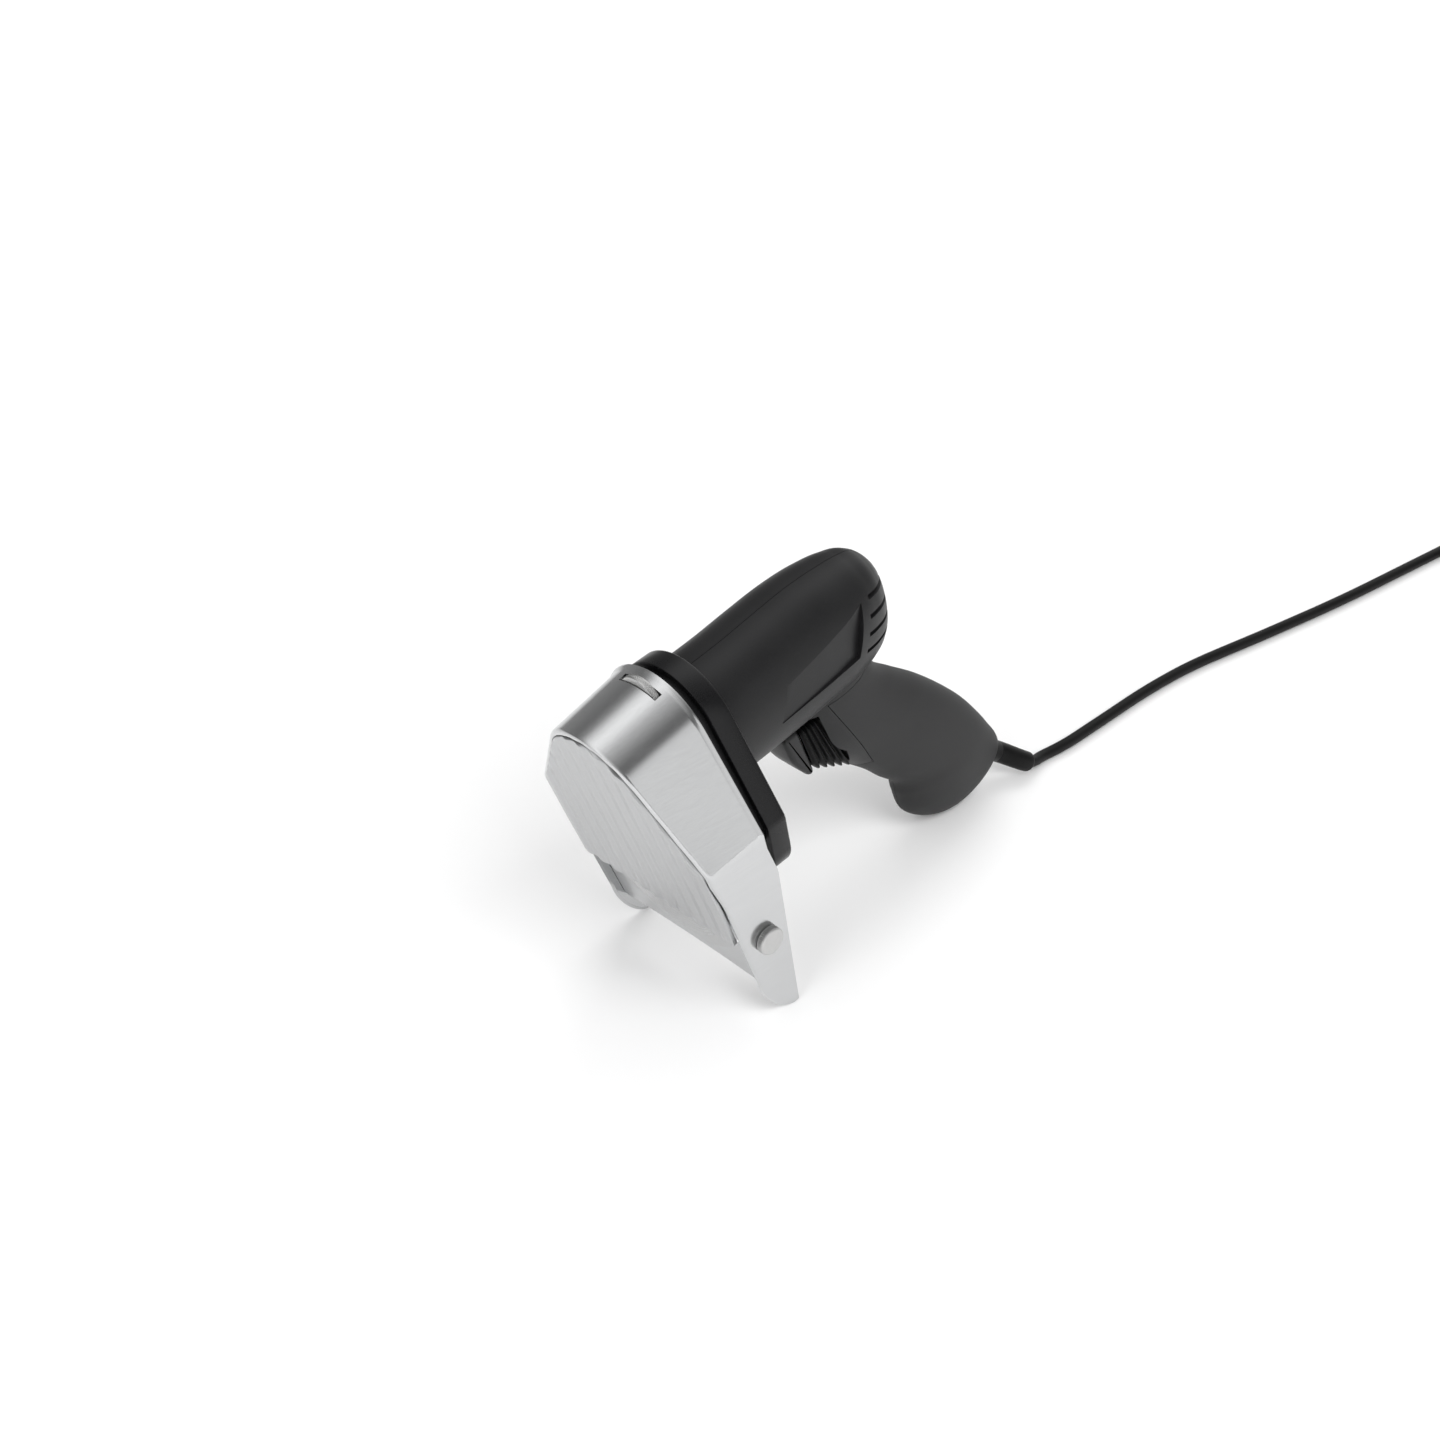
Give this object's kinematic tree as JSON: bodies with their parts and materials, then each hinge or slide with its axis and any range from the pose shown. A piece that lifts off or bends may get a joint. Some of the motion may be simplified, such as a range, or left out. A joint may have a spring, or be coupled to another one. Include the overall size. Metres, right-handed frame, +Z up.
{
  "type": "electric kebab knife",
  "caption": "Electric kebab knife with a pistol grip, round blade behind a ribbed stainless hood, guide bar between its legs, slice wheel, trigger and mains cord",
  "frame": {"origin": "on the surface that the tool stands on, under the middle of its outline, cord not counted", "axes": "+X towards the head, along the tool, +Y to the tool's left, +Z up; the tool leans nose down on its two feet and its butt"},
  "size_m": [0.7805, 0.2061, 0.1842],
  "materials": {
    "steel": "satin stainless sheet",
    "blade_steel": "ground blade steel",
    "fittings": "nickel plated steel",
    "cast_alloy": "die cast, as cast",
    "magnet": "sintered ferrite",
    "core_iron": "laminated iron",
    "zinc_plate": "zinc plated steel",
    "bronze": "turned brass",
    "gear_nylon": "natural nylon",
    "collar_plastic": "satin gloss moulding",
    "black_plastic": "fine texture moulding",
    "soft_grip": "matt soft touch overmould",
    "black_rubber": "black rubber"
  },
  "bodies": {
    "tool": {"adjusting_stud": "fittings", "body_left": "black_plastic", "body_right": "black_plastic", "body_screw_1": "fittings", "body_screw_2": "fittings", "body_screw_3": "fittings", "body_screw_4": "fittings", "collar": "collar_plastic", "cord_coil": "black_rubber", "cord_free": "black_rubber", "front_bearing": "zinc_plate", "front_plate": "steel", "gear_case": "cast_alloy", "gear_cover": "cast_alloy", "grip_cover_left": "soft_grip", "grip_cover_right": "soft_grip", "idler_axle": "fittings", "motor_can": "zinc_plate", "motor_end_cap": "black_plastic", "motor_magnets": "magnet", "motor_mount_front": "black_rubber", "motor_mount_rear": "black_rubber", "plug_body": "black_rubber", "plug_pin_1": "bronze", "plug_pin_2": "bronze", "rear_bearing": "zinc_plate", "spindle_bush_front": "bronze", "spindle_bush_rear": "bronze", "strain_relief": "black_rubber", "trigger_bellows": "black_rubber"},
    "guard": {"head_shell": "steel", "guide_bar": "steel"},
    "wheel": {"adjusting_wheel": "fittings"},
    "knob_left": {"thumb_screw_left": "fittings"},
    "knob_right": {"thumb_screw_right": "fittings"},
    "rotor": {"rotor_shaft": "zinc_plate", "rotor_core": "core_iron", "commutator": "bronze", "motor_pinion": "zinc_plate", "cooling_fan": "black_plastic"},
    "idler": {"idler_gear": "gear_nylon"},
    "cutter": {"blade": "blade_steel", "blade_screw": "fittings", "blade_spindle": "fittings", "spindle_gear": "zinc_plate"},
    "trigger_unit": {"trigger": "black_plastic", "switch_plunger": "gear_nylon"}
  },
  "joints": [
    {"name": "guard_slide", "type": "slide", "parent": "tool", "child": "guard", "axis": [-0.9887, 0, 0.1498], "range_m": [-0.0027, 0.005]},
    {"name": "wheel_turn", "type": "hinge", "parent": "guard", "child": "wheel", "pos_m": [0.10711, 0, 0.16205], "axis": [0.9887, 0, -0.1498], "range_deg": [-778.6, 1441]},
    {"name": "thumb_screw_left_turn", "type": "hinge", "parent": "guard", "child": "knob_left", "pos_m": [0.0909, 0.05228, 0.05102], "axis": [0, 1, 0], "range_deg": [0, 1080]},
    {"name": "thumb_screw_right_turn", "type": "hinge", "parent": "guard", "child": "knob_right", "pos_m": [0.0909, -0.05228, 0.05102], "axis": [0, -1, 0], "range_deg": [0, 1080]},
    {"name": "rotor_spin", "type": "hinge", "parent": "tool", "child": "rotor", "pos_m": [0.09568, 0, 0.13465], "axis": [0.9887, 0, -0.1498], "continuous": true},
    {"name": "idler_spin", "type": "hinge", "parent": "tool", "child": "idler", "pos_m": [0.10298, 0, 0.1055], "axis": [0.946, 0, -0.3241], "continuous": true},
    {"name": "blade_spin", "type": "hinge", "parent": "tool", "child": "cutter", "pos_m": [0.10932, 0, 0.07155], "axis": [0.946, 0, -0.3241], "continuous": true},
    {"name": "trigger_pull", "type": "slide", "parent": "tool", "child": "trigger_unit", "axis": [-0.7704, 0, 0.6376], "range_m": [0, 0.005], "stiffness_N_per_m": 400, "springref_m": -0.006, "deforming": ["trigger_bellows"]}
  ],
  "couplings": [
    {"joint": "wheel_turn", "follows": "guard_slide", "rad_per_m": 5026.5},
    {"joint": "idler_spin", "follows": "rotor_spin", "ratio": -0.46154},
    {"joint": "blade_spin", "follows": "rotor_spin", "ratio": 0.85714}
  ]
}
